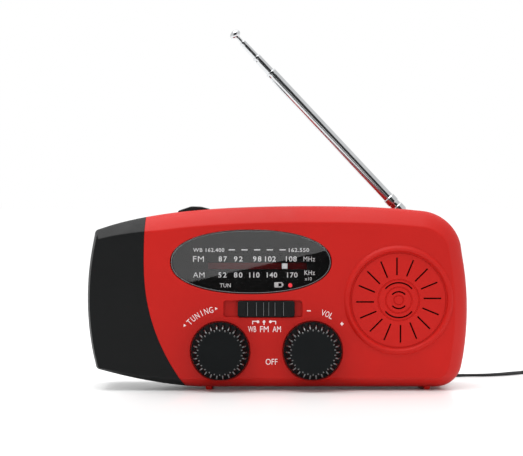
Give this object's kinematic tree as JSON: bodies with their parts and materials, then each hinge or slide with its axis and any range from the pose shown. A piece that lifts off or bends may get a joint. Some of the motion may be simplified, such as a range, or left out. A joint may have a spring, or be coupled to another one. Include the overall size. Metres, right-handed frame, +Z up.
{
  "type": "emergency radio",
  "caption": "Palm-size emergency radio with a dial window, tuning and volume knobs, band slider, round speaker, telescopic aerial, rear crank and a torch in one end.",
  "frame": {"origin": "on the floor under the middle of the radio's case, wrist strap left out", "axes": "+X to the right as the user faces the dial, +Y from the front to the back, +Z up"},
  "size_m": [0.1767, 0.0901, 0.1245],
  "materials": {
    "red_shell": "soft matte red, finely grained",
    "black_shell": "soft matte black",
    "black_knob": "satin black",
    "clear_window": "glossy smoked clear",
    "torch_clear": "clear polished",
    "scale_black": "printed matte black",
    "scale_red": "printed red",
    "pointer_white": "white moulded",
    "chrome": "bright plated",
    "steel": "zinc plated",
    "copper": "enamelled wire",
    "board_green": "solder mask",
    "cell_blue": "sleeved cell",
    "ferrite": "sintered dark grey",
    "paper_cone": "pressed paper, matte",
    "gear_white": "natural acetal",
    "solar": "dark cells under clear resin",
    "rubber": "matte",
    "led_white": "clear lens",
    "led_red": "clear red lens",
    "strap_black": "braided nylon"
  },
  "bodies": {
    "case": {"front_shell": "red_shell", "rear_shell": "red_shell", "end_cap": "black_shell", "shell_screw_1": "steel", "shell_screw_2": "steel", "shell_screw_3": "steel", "shell_screw_4": "steel", "torch_lens": "torch_clear", "torch_reflector": "chrome", "torch_led_1": "led_white", "torch_led_2": "led_white", "torch_led_3": "led_white", "torch_board": "board_green", "torch_switch": "black_shell", "dial_window": "clear_window", "dial_plate": "scale_black", "scale_strip": "scale_red", "charge_led": "led_red", "tuning_capacitor": "gear_white", "volume_pot": "steel", "band_switch": "steel", "speaker_frame": "steel", "speaker_cone": "paper_cone", "speaker_magnet": "steel", "main_board": "board_green", "battery_cell": "cell_blue", "ferrite_rod": "ferrite", "aerial_coil": "copper", "solar_panel": "solar", "socket_board": "board_green", "usb_out_socket": "steel", "charge_socket": "steel", "idler_axle": "steel", "generator_body": "steel", "gearbox_plate": "gear_white", "strap_bar": "steel", "strap_strand_a": "strap_black", "strap_strand_b": "strap_black", "strap_coil": "strap_black"},
    "pointer": {"dial_pointer": "pointer_white"},
    "tuning": {"tuning_knob": "black_knob", "tuning_shaft": "gear_white"},
    "volume": {"volume_knob": "black_knob", "volume_shaft": "steel"},
    "band": {"band_slider": "black_knob"},
    "button": {"torch_button": "black_knob"},
    "crank": {"crank_arm": "black_shell", "crank_shaft": "gear_white", "crank_screw": "steel"},
    "grip_hinge": {"grip_pin": "steel"},
    "grip": {"crank_grip": "black_knob"},
    "idler": {"idler_gear": "gear_white"},
    "rotor": {"generator_rotor": "gear_white"},
    "socket_cover": {"usb_cover": "rubber"},
    "mast_base": {"antenna_base": "chrome", "antenna_pin": "steel"},
    "mast_1": {"antenna_tube_1": "chrome"},
    "mast_2": {"antenna_tube_2": "chrome"},
    "mast_3": {"antenna_tube_3": "chrome"},
    "mast_tip": {"antenna_tip": "chrome"}
  },
  "joints": [
    {"name": "tuning_turn", "type": "hinge", "parent": "case", "child": "tuning", "pos_m": [-0.0194, -0.0255, 0.0134], "axis": [0, 1, 0], "range_deg": [-238, 62]},
    {"name": "pointer_slide", "type": "slide", "parent": "case", "child": "pointer", "axis": [1, 0, 0], "range_m": [-0.025, 0.0065]},
    {"name": "volume_turn", "type": "hinge", "parent": "case", "child": "volume", "pos_m": [0.0119, -0.0255, 0.0135], "axis": [0, 1, 0], "range_deg": [-150, 150]},
    {"name": "band_slide", "type": "slide", "parent": "case", "child": "band", "axis": [1, 0, 0], "range_m": [-0.0045, 0.0023]},
    {"name": "torch_press", "type": "slide", "parent": "case", "child": "button", "axis": [0, 0, -1], "range_m": [0, 0.001], "stiffness_N_per_m": 400, "springref_m": -0.0005},
    {"name": "crank_turn", "type": "hinge", "parent": "case", "child": "crank", "pos_m": [-0.018, 0.02, 0.031], "axis": [0, 1, 0], "continuous": true},
    {"name": "idler_spin", "type": "hinge", "parent": "case", "child": "idler", "pos_m": [-0.0012, 0.01, 0.031], "axis": [0, 1, 0], "continuous": true},
    {"name": "rotor_spin", "type": "hinge", "parent": "case", "child": "rotor", "pos_m": [0.0156, 0.0085, 0.031], "axis": [0, 1, 0], "continuous": true},
    {"name": "grip_fold", "type": "hinge", "parent": "crank", "child": "grip_hinge", "pos_m": [0.02, 0.02135, 0.031], "axis": [0, 0, -1], "range_deg": [0, 90]},
    {"name": "grip_spin", "type": "hinge", "parent": "grip_hinge", "child": "grip", "pos_m": [0.008, 0.02135, 0.031], "axis": [1, 0, 0], "continuous": true},
    {"name": "cover_open", "type": "hinge", "parent": "case", "child": "socket_cover", "pos_m": [0.046, 0.019, 0.0176], "axis": [-1, 0, 0], "range_deg": [0, 110]},
    {"name": "mast_swivel", "type": "hinge", "parent": "case", "child": "mast_base", "pos_m": [0.0477, 0.013, 0.0564], "axis": [0, 0, -1], "range_deg": [0, 180]},
    {"name": "mast_tilt", "type": "hinge", "parent": "mast_base", "child": "mast_1", "pos_m": [0.0477, 0.013, 0.0564], "axis": [0, 1, 0], "range_deg": [-46.8, 43.2]},
    {"name": "section_2_slide", "type": "slide", "parent": "mast_1", "child": "mast_2", "axis": [-0.6845, 0, 0.729], "range_m": [-0.0074, 0.044]},
    {"name": "section_3_slide", "type": "slide", "parent": "mast_2", "child": "mast_3", "axis": [-0.6845, 0, 0.729], "range_m": [-0.0072, 0.044]},
    {"name": "tip_slide", "type": "slide", "parent": "mast_3", "child": "mast_tip", "axis": [-0.6845, 0, 0.729], "range_m": [-0.0016, 0.044]}
  ],
  "couplings": [
    {"joint": "pointer_slide", "follows": "tuning_turn", "m_per_rad": 0.006},
    {"joint": "idler_spin", "follows": "crank_turn", "ratio": -2.5},
    {"joint": "rotor_spin", "follows": "crank_turn", "ratio": 6.25}
  ]
}
